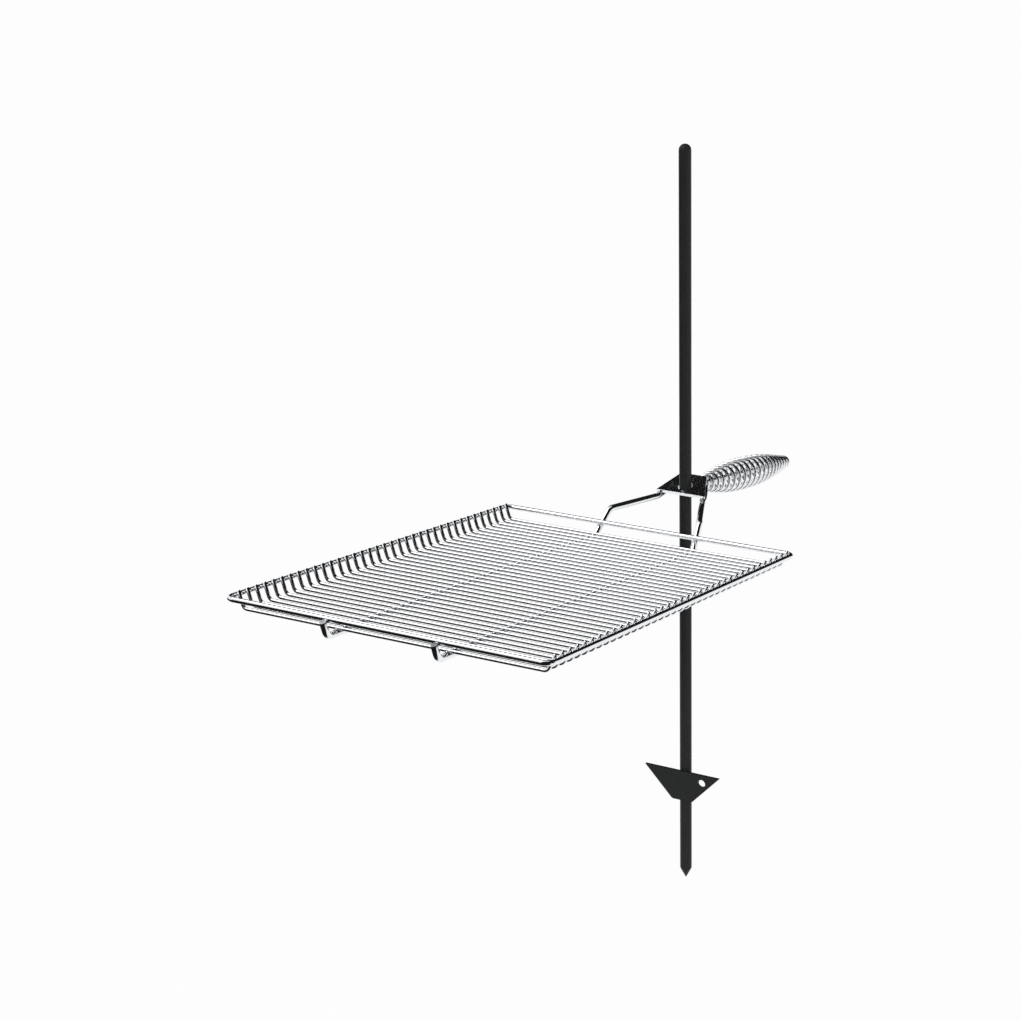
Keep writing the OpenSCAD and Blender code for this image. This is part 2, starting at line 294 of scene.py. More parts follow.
def fit_piece(obj, body, material, nodes=(), place=None):
    """Turns a shape into a mesh at its place, gives it its material and body, and hides the frame's nodes
    that it stands for.
    """
    if obj.type == "CURVE":
        curve = obj.data
        mesh = bpy.data.meshes.new_from_object(obj)
        name = obj.name
        bpy.data.objects.remove(obj)
        bpy.data.curves.remove(curve)
        obj = bpy.data.objects.new(name, mesh)
        mesh.name = name
        bpy.context.scene.collection.objects.link(obj)
        mesh.materials.clear()
    if place is not None:
        obj.data.transform(place)
    obj.data.materials.append(material)
    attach(obj, body)
    if nodes:
        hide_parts(*nodes)
    return obj


# Places


def grate_frame():
    """The frame of the grate, from the mount on its grid. Its origin is the middle of the back rim."""
    sizes = bpy.context.scene.grate_sizes
    mount = MOUNTS["cooking_surface"]
    normal = Vector(mount["axis"])
    tilt = Matrix.Rotation(-atan2(normal.y, normal.z), 4, "X")
    surface_drop = sizes.tray_depth - sizes.wire_diameter / 2
    to_rim = tilt @ Vector((0, grate_depth() / 2, surface_drop))
    return Matrix.Translation(Vector(mount["pos_m"]) + to_rim) @ tilt


def grate_rise():
    normal = MOUNTS["cooking_surface"]["axis"]
    return atan2(normal[1], normal[2])


def grate_depth():
    low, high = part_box("rim_wire")
    rim = bpy.context.scene.grate_sizes.rim_diameter
    return (high[1] - low[1] - rim) / cos(grate_rise())


def half_width():
    rim = bpy.context.scene.grate_sizes.rim_diameter
    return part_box("rim_wire")[1][0] - rim / 2


def stake_radius():
    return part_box("stake")[1][0]


def plate_ends():
    """The plate's front and rear edges, as distances from the back rim along the grate."""
    plate = bpy.context.scene.plate_sizes
    setback = bpy.context.scene.grate_sizes.rim_setback
    return setback - plate.front_reach * cos(plate.angle), setback + plate.rear_reach * cos(plate.angle)


def plate_height(y):
    """Height of the plate's middle plane above the rim at a distance y from the back rim."""
    grate = bpy.context.scene.grate_sizes
    return grate.rim_drop + (y - grate.rim_setback) * tan(bpy.context.scene.plate_sizes.angle)


def plate_half_width(y):
    plate = bpy.context.scene.plate_sizes
    front, rear = plate_ends()
    share = (y - front) / (rear - front)
    return (plate.front_width + share * (plate.rear_width - plate.front_width)) / 2


def arm_corners(side):
    """The corners of one arm in the grate's frame, from the front rim to under the plate."""
    arm = bpy.context.scene.arm_sizes
    grate = bpy.context.scene.grate_sizes
    rod = arm.rod_diameter / 2
    rim = grate.rim_diameter / 2
    drop = grate.tray_depth + grate.wire_diameter / 2 + rod + WELD_GAP
    rim_to_arm = rim + rod + WELD_GAP
    rear_y = (rim_to_arm - drop * cos(arm.rear_slope)) / sin(arm.rear_slope)
    shoulder_y = rear_y + (drop + arm.shoulder_height) / tan(arm.rear_slope)
    seat_y = -grate_depth() - rim_to_arm * sin(arm.front_slope)
    seat_z = -rim_to_arm * cos(arm.front_slope)
    front_y = seat_y + (drop + seat_z) / tan(arm.front_slope)
    end_y = seat_y - arm.front_lap * cos(arm.front_slope)
    end_z = seat_z + arm.front_lap * sin(arm.front_slope)
    front, rear = plate_ends()
    last_y = front + arm.end_share * (rear - front)
    plate = bpy.context.scene.plate_sizes
    under = (plate.thickness / 2 + rod + WELD_GAP) / cos(plate.angle)
    return [
        (side * arm.offset, end_y, end_z),
        (side * arm.offset, front_y, -drop),
        (side * arm.offset, rear_y, -drop),
        (side * arm.shoulder_offset, shoulder_y, arm.shoulder_height),
        (side * (plate_half_width(front) - arm.edge_inset), front, plate_height(front) - under),
        (side * (plate_half_width(last_y) - arm.edge_inset), last_y, plate_height(last_y) - under),
    ]


def wire_corners():
    """The corners of a grid wire across the tray, and its seat on the right side rim."""
    grate = bpy.context.scene.grate_sizes
    reach = hypot(grate.side_inset, grate.tray_depth)
    seat = (grate.rim_diameter + grate.wire_diameter) / 2 + WELD_GAP
    slope = atan2(grate.tray_depth, grate.side_inset) + asin(seat / reach)
    to_seat = sqrt(reach**2 - seat**2)
    bend_x = half_width() - grate.side_inset

    def on_slope(run):
        return Vector((bend_x + run * cos(slope), 0, run * sin(slope) - grate.tray_depth))

    end = on_slope(to_seat + grate.tip_length)
    corners = [(-end.x, 0, end.z), (-bend_x, 0, -grate.tray_depth), (bend_x, 0, -grate.tray_depth), end]
    return corners, on_slope(to_seat)


def grid_places():
    """The distance of each grid wire from the back rim, from the front."""
    grate = bpy.context.scene.grate_sizes
    count = len([name for name in frame["nodes"] if name.startswith("grid_wire_")])
    run = grate_depth() - grate.front_margin - grate.rear_margin
    return [-grate_depth() + grate.front_margin + run * i / (count - 1) for i in range(count)]


def handle_frame():
    """The frame of the handle, with its origin at the rod's front end and +Z along the rod."""
    handle = bpy.context.scene.handle_sizes
    plate = bpy.context.scene.plate_sizes
    rod = bpy.context.scene.arm_sizes.rod_diameter / 2
    start_y = bpy.context.scene.grate_sizes.rim_setback + handle.start_share * plate.rear_reach
    seat = (plate.thickness / 2 + WELD_GAP) / cos(plate.angle) + rod
    place = Matrix.Translation((0, start_y, plate_height(start_y) - seat))
    return grate_frame() @ place @ Matrix.Rotation(-pi / 2 - handle.drop_angle, 4, "X")


# Finishes


def linear(hex_colour, alpha=1.0):
    """An sRGB hex colour as the linear colour that a shader takes."""
    values = [int(hex_colour[i : i + 2], 16) / 255 for i in (1, 3, 5)]
    return (*[v / 12.92 if v <= 0.04045 else ((v + 0.055) / 1.055) ** 2.4 for v in values], alpha)


def add_node(tree, kind, inputs=None, **settings):
    """Adds a node to a tree. An input is a value, or the output of another node to link."""
    node = tree.nodes.new(kind)
    for name, value in settings.items():
        setattr(node, name, value)
    for name, value in (inputs or {}).items():
        if isinstance(value, bpy.types.NodeSocket):
            tree.links.new(value, node.inputs[name])
        else:
            node.inputs[name].default_value = value
    return node


def new_material(name):
    """An empty material with its output and object coordinates, and the shader to fill in."""
    material = bpy.data.materials.get(name)
    if material:
        return material, None, None, None
    material = bpy.data.materials.new(name)
    material.use_nodes = True
    tree = material.node_tree
    tree.nodes.clear()
    shader = add_node(tree, "ShaderNodeBsdfPrincipled")
    add_node(tree, "ShaderNodeOutputMaterial", {"Surface": shader.outputs["BSDF"]})
    place = add_node(tree, "ShaderNodeTexCoord").outputs["Object"]
    return material, tree, shader, place


def chrome_plated_wire():
    """Steel wire, rod and sheet, bright nickel and chrome plated: mirror-like, with soft waves left by
    the drawing and straightening, and faint cloudy patches where handling has dulled it."""
    material, tree, shader, place = new_material("chrome_plated_drawn_wire")
    if tree is None:
        return material
    # Straightening rolls leave waves of about 14 mm, and handling leaves haze of about 5 mm
    wave = add_node(tree, "ShaderNodeTexNoise", {"Vector": place, "Scale": 1 / (14 * MM), "Detail": 1.0})
    haze = add_node(tree, "ShaderNodeTexNoise", {"Vector": place, "Scale": 1 / (5 * MM), "Detail": 4.0})
    haze_range = {"From Min": 0.35, "From Max": 0.75, "To Min": 0.05, "To Max": 0.16}
    rough = add_node(tree, "ShaderNodeMapRange", {"Value": haze.outputs["Fac"], **haze_range})
    tint = add_node(tree, "ShaderNodeMix", {"Factor": haze.outputs["Fac"]}, data_type="RGBA")
    tint.inputs["A"].default_value = linear(bpy.context.scene.finishes.plating)
    tint.inputs["B"].default_value = linear(bpy.context.scene.finishes.plating_haze)
    bump = add_node(
        tree,
        "ShaderNodeBump",
        {"Height": wave.outputs["Fac"], "Strength": 1.0, "Distance": 0.12 * MM},
    )
    shader.inputs["Metallic"].default_value = 1.0
    tree.links.new(tint.outputs["Result"], shader.inputs["Base Color"])
    tree.links.new(rough.outputs["Result"], shader.inputs["Roughness"])
    tree.links.new(bump.outputs["Normal"], shader.inputs["Normal"])
    return material


def plated_weld_with_painted_shade():
    """Weld metal under the same plating: satin and pitted by spatter, in a dark grey that is partly
    painted shade, standing in for the shade where the grid wires cross the arms, so that each weld reads
    as a small dull spot instead of a mirror image."""
    material, tree, shader, place = new_material("weld_metal_with_painted_shade")
    if tree is None:
        return material
    # Pits about 0.9 mm apart, the size of fine spatter
    pits = add_node(tree, "ShaderNodeTexNoise", {"Vector": place, "Scale": 1 / (0.9 * MM), "Detail": 5.0})
    bump = add_node(
        tree,
        "ShaderNodeBump",
        {"Height": pits.outputs["Fac"], "Strength": 0.6, "Distance": 0.15 * MM},
    )
    shader.inputs["Metallic"].default_value = 1.0
    # The dark grey is partly painted shade, standing in for the shade at the wire crossings
    shader.inputs["Base Color"].default_value = linear(bpy.context.scene.finishes.weld)
    shader.inputs["Roughness"].default_value = 0.3
    tree.links.new(bump.outputs["Normal"], shader.inputs["Normal"])
    return material


def baked_black_paint():
    """Baked black enamel sprayed on hot-rolled steel: nearly black, satin, with a fine orange peel
    and a few dull patches, so that its highlights are broad and soft."""
    material, tree, shader, place = new_material("baked_black_enamel")
    if tree is None:
        return material
    # Orange peel of about 1.6 mm, and dull patches of about 18 mm
    peel = add_node(tree, "ShaderNodeTexNoise", {"Vector": place, "Scale": 1 / (1.6 * MM), "Detail": 2.0})
    cloud = add_node(tree, "ShaderNodeTexNoise", {"Vector": place, "Scale": 1 / (18 * MM), "Detail": 3.0})
    cloud_range = {"From Min": 0.3, "From Max": 0.7, "To Min": 0.26, "To Max": 0.38}
    rough = add_node(tree, "ShaderNodeMapRange", {"Value": cloud.outputs["Fac"], **cloud_range})
    tint = add_node(tree, "ShaderNodeMix", {"Factor": cloud.outputs["Fac"]}, data_type="RGBA")
    tint.inputs["A"].default_value = linear(bpy.context.scene.finishes.paint)
    tint.inputs["B"].default_value = linear(bpy.context.scene.finishes.paint_patch)
    bump = add_node(
        tree,
        "ShaderNodeBump",
        {"Height": peel.outputs["Fac"], "Strength": 0.35, "Distance": 0.03 * MM},
    )
    tree.links.new(tint.outputs["Result"], shader.inputs["Base Color"])
    tree.links.new(rough.outputs["Result"], shader.inputs["Roughness"])
    tree.links.new(bump.outputs["Normal"], shader.inputs["Normal"])
    shader.inputs["IOR"].default_value = 1.5
    shader.inputs["Specular IOR Level"].default_value = 0.1
    return material


# Pieces, one operator each


class GRILL_OT_stake(bpy.types.Operator):
    """Adds the round stake with its rounded top and its turned point"""

    bl_idname = "grill.stake"
    bl_label = "Stake"

    def execute(self, context):
        low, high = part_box("stake")
        radius = stake_radius()
        point = context.scene.stake_sizes.point_length
        tip_round = 0.5 * MM
        shoulder = 1.2 * MM
        wear = 0.12 * MM  # how far the shoulder is rounded inside the bar
        dome_steps = 12
        profile = [(0, low[2]), (tip_round, low[2] + tip_round * point / radius)]
        profile += [
            (radius - shoulder * radius / point / 2, low[2] + point - shoulder / 2),
            (radius - wear, low[2] + point + shoulder * 0.1),
            (radius, low[2] + point + shoulder),
        ]
        stretches = 60
        bottom, top = low[2] + point + shoulder, high[2] - radius
        profile += [(radius, bottom + (top - bottom) * k / stretches) for k in range(1, stretches + 1)]
        turns = [pi / 2 * k / dome_steps for k in range(1, dome_steps)]
        profile += [(radius * cos(a), top + radius * sin(a)) for a in turns] + [(0, high[2])]
        obj = turned_object("stake_bar", profile, STAKE_SIDES)
        fit_piece(obj, STAKE, baked_black_paint(), ["stake"])
        return {"FINISHED"}


class GRILL_OT_fin(bpy.types.Operator):
    """Adds the anchor fin that keeps the stake from turning in the ground"""

    bl_idname = "grill.fin"
    bl_label = "Anchor fin"

    def execute(self, context):
        sizes = context.scene.stake_sizes
        low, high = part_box("anchor_fin")
        thickness = high[1] - low[1]
        hole = MOUNTS["fin_hole"]
        half_top, half_foot = high[0], sizes.fin_foot_width / 2
        foot = low[2]
        tip = [Vector((half_top, 0, 0))]
        corners = [Vector((half_foot, foot, 0)), Vector((-half_foot, foot, 0))]
        lower = bend_points(tip[0], corners[0], corners[1], sizes.fin_corner_radius)
        lower += bend_points(corners[0], corners[1], -tip[0], sizes.fin_corner_radius)
        centre = Vector((hole["pos_m"][0], hole["pos_m"][2]))
        outline = [Vector((-half_top, 0, 0)), tip[0], *lower]
        obj = sheet_object(
            "anchor_fin_sheet", outline, centre, hole["dims"]["r_mm"] * MM, thickness, sizes.edge_round
        )
        place = Matrix.Translation((0, (low[1] + high[1]) / 2, 0)) @ Matrix.Rotation(pi / 2, 4, "X")
        fit_piece(obj, ANCHOR, baked_black_paint(), ["anchor_fin"], place)
        return {"FINISHED"}


class GRILL_OT_plate(bpy.types.Operator):
    """Adds the pinch plate, whose tilted hole slides and binds on the stake"""

    bl_idname = "grill.plate"
    bl_label = "Pinch plate"

    def execute(self, context):
        plate = context.scene.plate_sizes
        front, rear = plate.front_width / 2, plate.rear_width / 2
        tip_round = 0.8 * MM
        corners = [(-front, -plate.front_reach, 0), (front, -plate.front_reach, 0)]
        corners += [(rear, plate.rear_reach, 0), (-rear, plate.rear_reach, 0)]
        lean = plate.angle - grate_rise()
        stake_run = 2 * stake_radius() / cos(lean) + plate.thickness * tan(lean)
        obj = sheet_object(
            "pinch_plate_sheet",
            bent_path(corners, tip_round, closed=True),
            Vector((0, 0)),
            stake_run / 2 + plate.hole_clearance,
            plate.thickness,
            plate.edge_round,
        )
        grate = context.scene.grate_sizes
        hole = Matrix.Translation((0, grate.rim_setback, grate.rim_drop))
        place = grate_frame() @ hole @ Matrix.Rotation(plate.angle, 4, "X")
        fit_piece(obj, GRILL, chrome_plated_wire(), ["pinch_plate"], place)
        return {"FINISHED"}


class GRILL_OT_arms(bpy.types.Operator):
    """Adds the two bent arms that carry the grate from the plate"""

    bl_idname = "grill.arms"
    bl_label = "Arms"

    def execute(self, context):
        arm = context.scene.arm_sizes
        radius = arm.rod_diameter / 2
        for name, side in (("left_arm", -1), ("right_arm", 1)):
            path = bent_path(arm_corners(side), arm.bend_radius)
            obj = tube_object(name + "_rod", [sheared_bar(path, radius)], radius, ROD_SIDES)
            fit_piece(obj, GRILL, chrome_plated_wire(), [name], grate_frame())
        return {"FINISHED"}


class GRILL_OT_rim(bpy.types.Operator):
    """Adds the rim, one closed wire round the grate"""

    bl_idname = "grill.rim"
    bl_label = "Rim"

    def execute(self, context):
        grate = context.scene.grate_sizes
        across, depth = half_width(), grate_depth()
        corners = [(-across, -depth, 0), (across, -depth, 0), (across, 0, 0), (-across, 0, 0)]
        path = [(place, 1.0) for place in bent_path(corners, grate.rim_corner_radius, closed=True)]
        obj = tube_object("rim_ring", [path], grate.rim_diameter / 2, ROD_SIDES, closed=True)
        fit_piece(obj, GRILL, chrome_plated_wire(), ["rim_wire"], grate_frame())
        return {"FINISHED"}


class GRILL_OT_grid(bpy.types.Operator):
    """Adds the grid wires, each bent up at both ends to the side rims"""

    bl_idname = "grill.grid"
    bl_label = "Grid wires"

    def execute(self, context):
        grate = context.scene.grate_sizes
        radius = grate.wire_diameter / 2
        path = bent_path(wire_corners()[0], grate.bend_radius)
        for count, y in enumerate(grid_places(), 1):
            obj = tube_object("grid_bar_%02d" % count, [sheared_bar(path, radius)], radius, WIRE_SIDES)
            place = grate_frame() @ Matrix.Translation((0, y, 0))
            node = "grid_wire_%02d" % count
            fit_piece(obj, GRILL, chrome_plated_wire(), [node], place)
        return {"FINISHED"}


class GRILL_OT_handle_rod(bpy.types.Operator):
    """Adds the handle's straight rod"""

    bl_idname = "grill.handle_rod"
    bl_label = "Handle rod"

    def execute(self, context):
        radius = context.scene.arm_sizes.rod_diameter / 2
        path = [Vector((0, 0, 0)), Vector((0, 0, context.scene.handle_sizes.rod_length))]
        obj = tube_object("handle_core_rod", [sheared_bar(path, radius)], radius, ROD_SIDES)
        fit_piece(obj, GRILL, chrome_plated_wire(), ["handle_rod"], handle_frame())
        return {"FINISHED"}


# Outer radius of the grip along its length, as shares of its length and of its swell
GRIP_SHAPE = (
    (0, 0), (0.08, 0.28), (0.16, 0.53), (0.26, 0.81), (0.36, 0.96), (0.44, 1),
    (0.54, 0.99), (0.64, 0.92), (0.74, 0.74), (0.84, 0.45), (0.92, 0.2), (1, 0),
)


def grip_swell(along):
    """The grip's swell at a share of its length, between the places of GRIP_SHAPE."""
    for (low, low_swell), (high, high_swell) in zip(GRIP_SHAPE, GRIP_SHAPE[1:]):
        if along <= high:
            return low_swell + (high_swell - low_swell) * (along - low) / (high - low)
    return GRIP_SHAPE[-1][1]


class GRILL_OT_handle_coil(bpy.types.Operator):
    """Adds the wound wire grip that swells round the handle's rod"""

    bl_idname = "grill.handle_coil"
    bl_label = "Handle grip"

    def execute(self, context):
        handle = context.scene.handle_sizes
        wire = handle.coil_wire / 2
        inner = context.scene.arm_sizes.rod_diameter / 2 + handle.coil_gap + wire
        swell = handle.coil_width / 2 - wire - inner
        count = int(handle.coil_turns * COIL_STEPS)
        path = []
        for step in range(count + 1):
            share = step / count
            turn = 2 * pi * handle.coil_turns * share
            along = share - handle.coil_crowding * sin(2 * pi * share) / (2 * pi)
            radius = inner + swell * grip_swell(along)
            height = handle.coil_start + handle.coil_length * along
            path.append(Vector((radius * cos(turn), radius * sin(turn), height)))
        obj = tube_object("handle_grip_wire", [sheared_bar(path, wire)], wire, WIRE_SIDES)
        fit_piece(obj, GRILL, chrome_plated_wire(), ["handle_coil"], handle_frame())
        return {"FINISHED"}


class GRILL_OT_welds(bpy.types.Operator):
    """Adds the weld metal at the plate, the rims, the grid and the fin"""

    bl_idname = "grill.welds"
    bl_label = "Welds"

    def execute(self, context):
        rod = context.scene.arm_sizes.rod_diameter / 2
        for name, side in (("left", -1), ("right", 1)):
            self.add_arm_welds(context, name, side, rod)
            self.add_grid_welds(context, name, side)
        self.add_handle_welds(context, rod)
        self.add_fin_welds()
        return {"FINISHED"}

    def add_arm_welds(self, context, name, side, rod):
        """A bead along the plate, and two each behind the back rim and in front of the front rim."""
        arm, grate = context.scene.arm_sizes, context.scene.grate_sizes
        rim = grate.rim_diameter / 2
        sunk = 0.2 * MM
        from_share, to_share = 0.12, 0.9  # of the arm's run along the plate
        corners = [Vector(corner) for corner in arm_corners(side)]
        out = Vector((side * (rod - sunk), 0, rod * 0.55))
        along_plate = weld_bead(
            corners[4].lerp(corners[5], from_share) + out,
            corners[4].lerp(corners[5], to_share) + out,
            side,
        )
        riser = (corners[3] - corners[2]).normalized() * BEAD_RADIUS
        rise = (corners[0] - corners[1]).normalized() * BEAD_RADIUS
        middle = Vector((side * arm.offset, 0, 0))
        beside = Vector((rod * 0.7, 0, 0))
        behind = middle + Vector((0, rim * sin(arm.rear_slope), -rim * cos(arm.rear_slope)))
        before = middle + Vector((0, -rim * sin(arm.front_slope), -rim * cos(arm.front_slope)))
        before += Vector((0, -grate_depth(), 0))
        at_rims = []
        for place, back, on in ((behind, riser, riser), (before, rise, rise * 0.5)):
            for way in (-1, 1):
                at = place + beside * way
                at_rims.append(weld_bead(at - back, at + on, way))
        strands = [along_plate, *at_rims]
        beads = tube_object(name + "_arm_welds", strands, BEAD_RADIUS, WIRE_SIDES)
        fit_piece(beads, GRILL, plated_weld_with_painted_shade(), place=grate_frame())

    def add_grid_welds(self, context, name, side):
        """A spot where each grid wire crosses the arm, and one where it lies on the side rim."""
        grate = context.scene.grate_sizes
        _, seat = wire_corners()
        toward_rim = (Vector((half_width(), 0, 0)) - seat).normalized() * grate.wire_diameter / 2
        wire_foot = -grate.tray_depth - grate.wire_diameter / 2
        along_wire, along_rim = Vector((SPOT_REACH, 0, 0)), Vector((0, SEAT_SPOT_REACH, 0))
        crossings, seats = [], []
        for count, y in enumerate(grid_places()):
            crossing = Vector((side * context.scene.arm_sizes.offset, y, wire_foot))
            crossings.append(weld_bead(crossing - along_wire, crossing + along_wire, count))
            on_rim = Vector((side * (seat + toward_rim).x, y, (seat + toward_rim).z))
            seats.append(weld_bead(on_rim - along_rim, on_rim + along_rim, count))
        # The dark weld colour of the crossing spots is painted shade where the wires cross the arms
        for place_name, strands in (("crossing", crossings), ("rim", seats)):
            spots = tube_object(name + "_" + place_name + "_welds", strands, SPOT_RADIUS, SPOT_SIDES)
            fit_piece(spots, GRILL, plated_weld_with_painted_shade(), place=grate_frame())

    def add_handle_welds(self, context, rod):
        """A bead on each side of the handle's rod, under the plate."""
        run = (1 - context.scene.handle_sizes.start_share) * context.scene.plate_sizes.rear_reach
        strands = []
        for way in (-1, 1):
            beside = Vector((way * rod * 0.8, 0, 0))
            start = beside + Vector((0, -rod * 0.62, 0.5 * MM))
            end = beside + Vector((0, -rod * 0.62 - run * 0.25, run * 0.6))
            strands.append(weld_bead(start, end, way))
        beads = tube_object("handle_rod_welds", strands, BEAD_RADIUS, WIRE_SIDES)
        fit_piece(beads, GRILL, plated_weld_with_painted_shade(), place=handle_frame())

    def add_fin_welds(self):
        """A painted bead in each groove between the stake and the fin's back."""
        low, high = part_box("anchor_fin")
        from_edge = 2.5 * MM
        strands = []
        for way in (-1, 1):
            groove = Vector((way * stake_radius() * 0.62, high[1] + 0.7 * MM, 0))
            top = groove + Vector((0, 0, high[2] - from_edge))
            foot = groove + Vector((0, 0, low[2] + from_edge))
            strands.append(weld_bead(foot, top, way))
        beads = tube_object("fin_welds", strands, BEAD_RADIUS, WIRE_SIDES)
        fit_piece(beads, ANCHOR, baked_black_paint())


# Stage


def from_bearing(azimuth, elevation, distance):
    """A place round the object. Azimuth 0 is in front of the grate and 90 is to its right."""
    a, e = radians(azimuth), radians(elevation)
    return Vector((sin(a) * cos(e), -cos(a) * cos(e), sin(e))) * distance


# Dark openings between the studio's white walls, as metal sees them: azimuth, elevation, reach and
# width of the soft edge, in degrees
DARK_OPENINGS = (
    (-172, 28, 37, 4),  # mirrored by the plate and by the tops of the side rims and arms
    (130, 45, 22, 5),  # by the arms' runs to the plate
    (33, 27, 38, 7),  # by the grip's turns and the grid wires' left ends
    (78, 24, 32, 5),  # by their right sides
    (-2, 2, 17, 5),  # by their left sides
    (60, 60, 20, 6),  # by the arms' risers
    (-31, 6, 12, 4),  # by the lower halves of the front rim and the grid wires
)
SHADE_LEVEL = 0.01  # brightness that is left in the openings and in the floor's shade
# Matt and painted surfaces see a soft light: azimuth, elevation, and the brightness there and behind
SOFT_LIGHT = (35, 20, 2.4, 0.03)
SOFT_LIGHT_EDGE = (0.6, 0.95)  # cosines of the angles from its middle at which it starts and is full
# Metal sees the floor black in front of the grate, up to a line across it: the bearing that the floor
# darkens towards, and how far that way from the origin the shade is full and ends, in metres
FLOOR_SHADE = (-20, 0.56, 0.38)
FLOOR_WHITE = 0.97  # share of plain white in the floor that the camera sees; the rest takes the shadow
FLOOR_HALF = 15.0
SOFTBOX = (-60, 60, 2.2)  # azimuth, elevation and distance
SOFTBOX_SIDE = 1.0
SOFTBOX_WATTS = 9.0


def level_towards(tree, place, direction, start, end, before, after):
    """A level that fades from before to after as a place or a ray lies further in a direction."""
    along = add_node(tree, "ShaderNodeVectorMath", {0: place, 1: direction}, operation="DOT_PRODUCT")
    span = {"From Min": start, "From Max": end, "To Min": before, "To Max": after}
    inputs = {"Value": along.outputs["Value"], **span}
    return add_node(tree, "ShaderNodeMapRange", inputs, interpolation_type="SMOOTHSTEP").outputs[0]


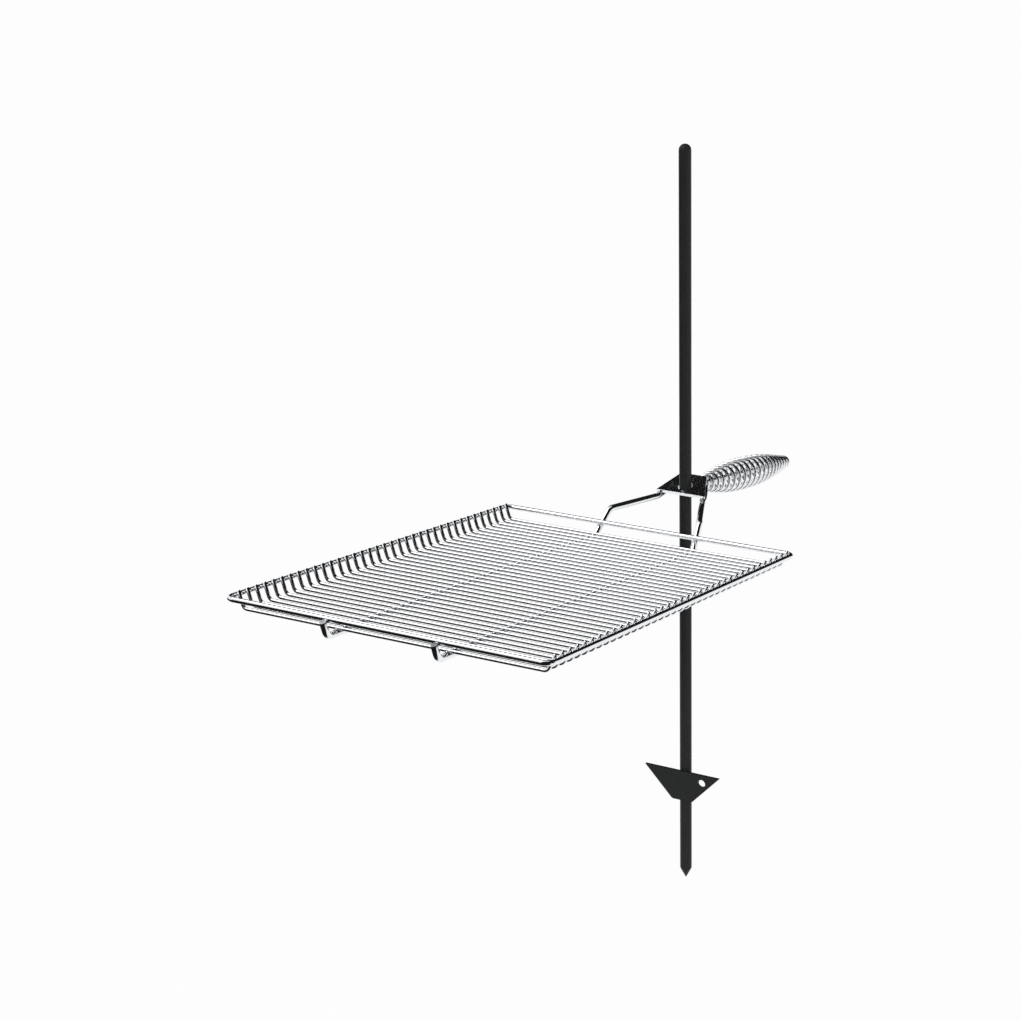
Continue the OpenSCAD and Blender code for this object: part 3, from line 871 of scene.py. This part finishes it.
class GRILL_OT_stage(bpy.types.Operator):
    """Adds the camera, the studio light, the pale floor and the white background"""

    bl_idname = "grill.stage"
    bl_label = "Stage"

    def execute(self, context):
        self.add_camera(context)
        self.add_world(context)
        self.add_floor(context)
        self.add_softbox(context)
        context.scene.view_settings.view_transform = "Standard"
        return {"FINISHED"}

    def add_camera(self, context):
        image_width = 1020  # pixels, as the photograph
        focal_pixels = 2444.07
        centre_pixels = (518.81, 515.59)
        azimuth, elevation, roll = radians(30.59), radians(19.61), radians(-1.47)
        distance = 2.48934
        target = Vector((-0.18915, 0, 0.24197))
        backward = Vector(
            (sin(azimuth) * cos(elevation), -cos(azimuth) * cos(elevation), sin(elevation))
        )
        right = Vector((cos(azimuth), sin(azimuth), 0))
        upward = backward.cross(right)
        rolled_right = right * cos(roll) + upward * sin(roll)
        rolled_up = upward * cos(roll) - right * sin(roll)
        data = bpy.data.cameras.new("camera")
        data.sensor_width = 36.0
        data.lens = data.sensor_width * focal_pixels / image_width
        data.shift_x = (image_width / 2 - centre_pixels[0]) / image_width
        data.shift_y = (centre_pixels[1] - image_width / 2) / image_width
        data.clip_end = 50.0
        camera = bpy.data.objects.new("camera", data)
        turn = Matrix((rolled_right, rolled_up, backward)).transposed().to_4x4()
        camera.matrix_world = Matrix.Translation(target + backward * distance) @ turn
        context.scene.collection.objects.link(camera)
        context.scene.camera = camera

    def add_world(self, context):
        """White to the camera. Metal sees white walls with dark openings between them."""
        world = bpy.data.worlds.new("studio")
        context.scene.world = world
        world.use_nodes = True
        world.cycles.sampling_method = "NONE"  # else metal is also lit by what only matt surfaces see
        tree = world.node_tree
        tree.nodes.clear()
        way = add_node(tree, "ShaderNodeTexCoord").outputs["Generated"]
        walls = None
        for azimuth, elevation, reach, edge in DARK_OPENINGS:
            start, end = cos(radians(reach + edge)), cos(radians(reach))
            middle = from_bearing(azimuth, elevation, 1.0)
            wall = level_towards(tree, way, middle, start, end, 1.0, SHADE_LEVEL)
            if walls is None:
                walls = wall
            else:
                both = add_node(tree, "ShaderNodeMath", {0: walls, 1: wall}, operation="MINIMUM")
                walls = both.outputs[0]
        azimuth, elevation, front, behind = SOFT_LIGHT
        soft = level_towards(
            tree, way, from_bearing(azimuth, elevation, 1.0), *SOFT_LIGHT_EDGE, behind, front
        )
        ray = add_node(tree, "ShaderNodeLightPath").outputs
        mirrors = {0: ray["Is Glossy Ray"], 1: ray["Is Transmission Ray"]}
        mirrored = add_node(tree, "ShaderNodeMath", mirrors, operation="MAXIMUM").outputs[0]
        seen = []
        for strength in (soft, walls, 1.0):
            light = add_node(tree, "ShaderNodeBackground", {"Strength": strength})
            light.inputs["Color"].default_value = linear("#FFFFFF")
            seen.append(light.outputs[0])
        lit = add_node(tree, "ShaderNodeMixShader", {0: mirrored, 1: seen[0], 2: seen[1]}).outputs[0]
        shown = {0: ray["Is Camera Ray"], 1: lit, 2: seen[2]}
        shown = add_node(tree, "ShaderNodeMixShader", shown).outputs[0]
        add_node(tree, "ShaderNodeOutputWorld", {"Surface": shown})

    def add_floor(self, context):
        """A pale floor at the stake's point, white to the camera but for the object's shadow."""
        half, height = FLOOR_HALF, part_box("stake")[0][2]
        mesh = bpy.data.meshes.new("floor")
        corners = [(-half, -half, 0), (half, -half, 0), (half, half, 0), (-half, half, 0)]
        mesh.from_pydata(corners, [], [(0, 1, 2, 3)])
        floor = bpy.data.objects.new("floor", mesh)
        floor.matrix_world = Matrix.Translation((0, 0, height))
        context.scene.collection.objects.link(floor)
        mesh.materials.append(self.floor_material(context))

    def floor_material(self, context):
        """Matt painted studio floor: even and pale to the camera, with no gloss, so that only a shadow
        shows on it. Metal sees it black in front of the grate, a painted shade that gives the metal its
        dark reflections.
        """
        material = bpy.data.materials.new("matt_painted_studio_floor")
        material.use_nodes = True
        material.cycles.emission_sampling = "NONE"
        tree = material.node_tree
        tree.nodes.clear()
        matt = add_node(tree, "ShaderNodeBsdfDiffuse")
        matt.inputs["Color"].default_value = linear(context.scene.finishes.floor)
        ray = add_node(tree, "ShaderNodeLightPath").outputs
        camera, glossy = ray["Is Camera Ray"], ray["Is Glossy Ray"]
        bearing, full, end = FLOOR_SHADE
        place = add_node(tree, "ShaderNodeTexCoord").outputs["Object"]
        shade = level_towards(tree, place, from_bearing(bearing, 0, 1.0), end, full, 1.0, SHADE_LEVEL)
        level = add_node(tree, "ShaderNodeMath", {0: shade, 1: camera}, operation="MAXIMUM")
        glow = add_node(tree, "ShaderNodeEmission", {"Strength": level.outputs[0]})
        white = add_node(tree, "ShaderNodeMath", {0: camera, 1: FLOOR_WHITE}, operation="MULTIPLY")
        share = add_node(tree, "ShaderNodeMath", {0: white.outputs[0], 1: glossy}, operation="MAXIMUM")
        both = {0: share.outputs[0], 1: matt.outputs[0], 2: glow.outputs[0]}
        both = add_node(tree, "ShaderNodeMixShader", both).outputs[0]
        add_node(tree, "ShaderNodeOutputMaterial", {"Surface": both})
        return material

    def add_softbox(self, context):
        """A large softbox, high and on the left."""
        data = bpy.data.lights.new("overhead_softbox", "AREA")
        data.shape = "RECTANGLE"
        data.size = data.size_y = SOFTBOX_SIDE
        data.energy = SOFTBOX_WATTS
        lamp = bpy.data.objects.new("overhead_softbox", data)
        aim = Vector((0, -0.1, 0.25))
        lamp.location = aim + from_bearing(*SOFTBOX)
        lamp.rotation_euler = (lamp.location - aim).to_track_quat("Z", "Y").to_euler()
        context.scene.collection.objects.link(lamp)


PIECES = (
    GRILL_OT_stake,
    GRILL_OT_fin,
    GRILL_OT_plate,
    GRILL_OT_arms,
    GRILL_OT_rim,
    GRILL_OT_grid,
    GRILL_OT_handle_rod,
    GRILL_OT_handle_coil,
    GRILL_OT_welds,
    GRILL_OT_stage,
)
GROUPS = {
    "stake_sizes": StakeSizes,
    "plate_sizes": PlateSizes,
    "grate_sizes": GrateSizes,
    "arm_sizes": ArmSizes,
    "handle_sizes": HandleSizes,
    "finishes": Finishes,
}


class GRILL_PT_panel(bpy.types.Panel):
    """Lists the grill's sizes, finishes and pieces"""

    bl_idname = "GRILL_PT_panel"
    bl_label = "Campfire Stake Grill"
    bl_space_type = "VIEW_3D"
    bl_region_type = "UI"
    bl_category = "Grill"

    def draw(self, context):
        for name, group in GROUPS.items():
            box = self.layout.box()
            box.label(text=name.replace("_", " ").capitalize())
            for size in group.__annotations__:
                box.prop(getattr(context.scene, name), size)
        for piece in PIECES:
            self.layout.operator(piece.bl_idname)


def register():
    for group in GROUPS.values():
        bpy.utils.register_class(group)
    for name, group in GROUPS.items():
        setattr(bpy.types.Scene, name, bpy.props.PointerProperty(type=group))
    for cls in (*PIECES, GRILL_PT_panel):
        bpy.utils.register_class(cls)


def unregister():
    for cls in reversed((*PIECES, GRILL_PT_panel)):
        bpy.utils.unregister_class(cls)
    for name, group in GROUPS.items():
        delattr(bpy.types.Scene, name)
        bpy.utils.unregister_class(group)


def main():
    register()
    for piece in PIECES:
        family, name = piece.bl_idname.split(".")
        getattr(getattr(bpy.ops, family), name)()


if __name__ == "__main__":
    main()
